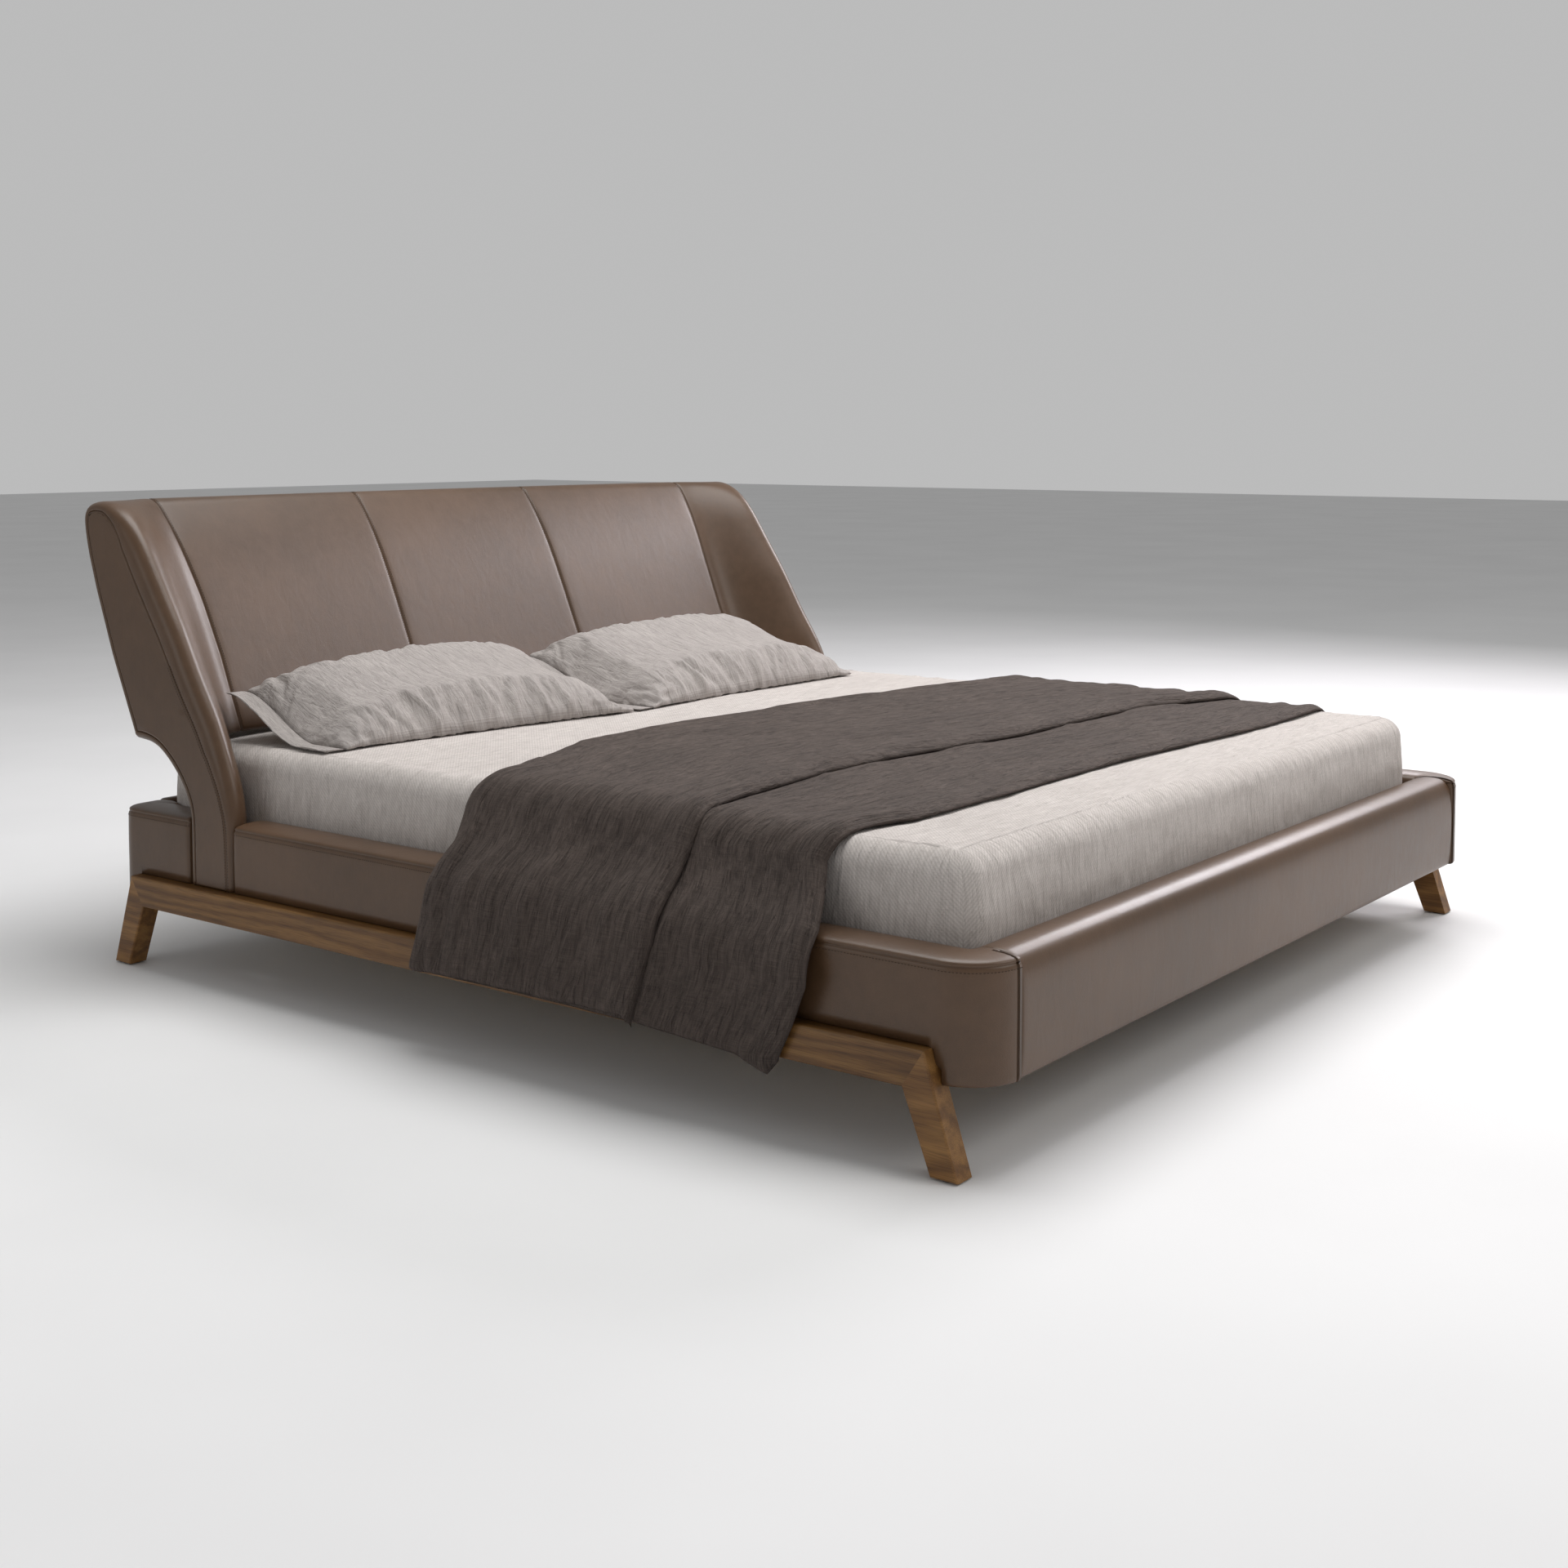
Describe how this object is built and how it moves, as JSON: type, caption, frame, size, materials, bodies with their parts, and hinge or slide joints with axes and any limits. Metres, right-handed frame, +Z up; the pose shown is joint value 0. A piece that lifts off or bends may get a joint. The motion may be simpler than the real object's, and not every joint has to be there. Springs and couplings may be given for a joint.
{
  "type": "upholstered platform bed",
  "caption": "Low upholstered bed with a winged, back-leaning leather headboard, splayed walnut leg frame, mattress, pillows and throw.",
  "frame": {"origin": "on the floor under the middle of the bed's outline", "axes": "+X across the bed to the right side, +Y from the foot to the head, +Z up"},
  "size_m": [2.212, 2.343, 0.983],
  "materials": {
    "black_plastic": "moulded black",
    "coated_steel": "black powder coat",
    "leather": "dark taupe brown leather, satin, fine grain",
    "pillow_linen": "washed linen, warm pale grey",
    "plywood": "plain sanded plywood",
    "sheet_linen": "washed linen, warm pale grey",
    "slat_wood": "laminated beech, clear lacquer",
    "throw_linen": "washed linen, dark brown",
    "ticking": "woven white ticking",
    "walnut": "oiled walnut with straight brown grain",
    "zinc_steel": "zinc plated"
  },
  "bodies": {
    "bed": {"angle_bolts": "zinc_steel", "beam_brackets": "coated_steel", "centre_beam": "coated_steel", "centre_leg_foot": "coated_steel", "centre_leg_head": "coated_steel", "centre_leg_middle": "coated_steel", "corner_angles": "coated_steel", "fitted_sheet": "sheet_linen", "foot_rail_core": "plywood", "foot_rail_cover": "leather", "frame_bolts": "zinc_steel", "headboard_back_cover": "leather", "headboard_board": "plywood", "headboard_panel_centre": "leather", "headboard_panel_left": "leather", "headboard_panel_right": "leather", "headboard_screws": "zinc_steel", "ledger_left": "plywood", "ledger_right": "plywood", "leg_foot_left": "walnut", "leg_foot_right": "walnut", "leg_glides": "black_plastic", "leg_head_left": "walnut", "leg_head_right": "walnut", "mattress": "ticking", "mitre_dowels": "plywood", "rear_block_cover_left": "leather", "rear_block_cover_right": "leather", "rear_rail_board": "plywood", "rear_rail_cover": "leather", "side_rail_core_left": "plywood", "side_rail_core_right": "plywood", "side_rail_cover_left": "leather", "side_rail_cover_right": "leather", "slat_caps_middle_left": "black_plastic", "slat_caps_middle_right": "black_plastic", "slat_caps_side_left": "black_plastic", "slat_caps_side_right": "black_plastic", "slats_left": "slat_wood", "slats_right": "slat_wood", "walnut_rail_left": "walnut", "walnut_rail_right": "walnut", "wing_board_left": "plywood", "wing_board_right": "plywood", "wing_bolts": "zinc_steel", "wing_cover_left": "leather", "wing_cover_right": "leather", "wing_side_panel_left": "leather", "wing_side_panel_right": "leather"},
    "pillow_left": {"pillow_left": "pillow_linen"},
    "pillow_right": {"pillow_right": "pillow_linen"},
    "throw": {"throw": "throw_linen"},
    "glide_foot": {"centre_glide_foot": "zinc_steel"},
    "glide_middle": {"centre_glide_middle": "zinc_steel"},
    "glide_head": {"centre_glide_head": "zinc_steel"}
  },
  "joints": [
    {"name": "pillow_left_lift", "type": "slide", "parent": "bed", "child": "pillow_left", "axis": [0, 0, 1], "range_m": [0, 0.35]},
    {"name": "pillow_right_lift", "type": "slide", "parent": "bed", "child": "pillow_right", "axis": [0, 0, 1], "range_m": [0, 0.35]},
    {"name": "throw_lift", "type": "slide", "parent": "bed", "child": "throw", "axis": [0, 0, 1], "range_m": [0, 0.45]},
    {"name": "glide_foot_screw", "type": "slide", "parent": "bed", "child": "glide_foot", "axis": [0, 0, 1], "range_m": [0, 0.015]},
    {"name": "glide_middle_screw", "type": "slide", "parent": "bed", "child": "glide_middle", "axis": [0, 0, 1], "range_m": [0, 0.015]},
    {"name": "glide_head_screw", "type": "slide", "parent": "bed", "child": "glide_head", "axis": [0, 0, 1], "range_m": [0, 0.015]}
  ]
}
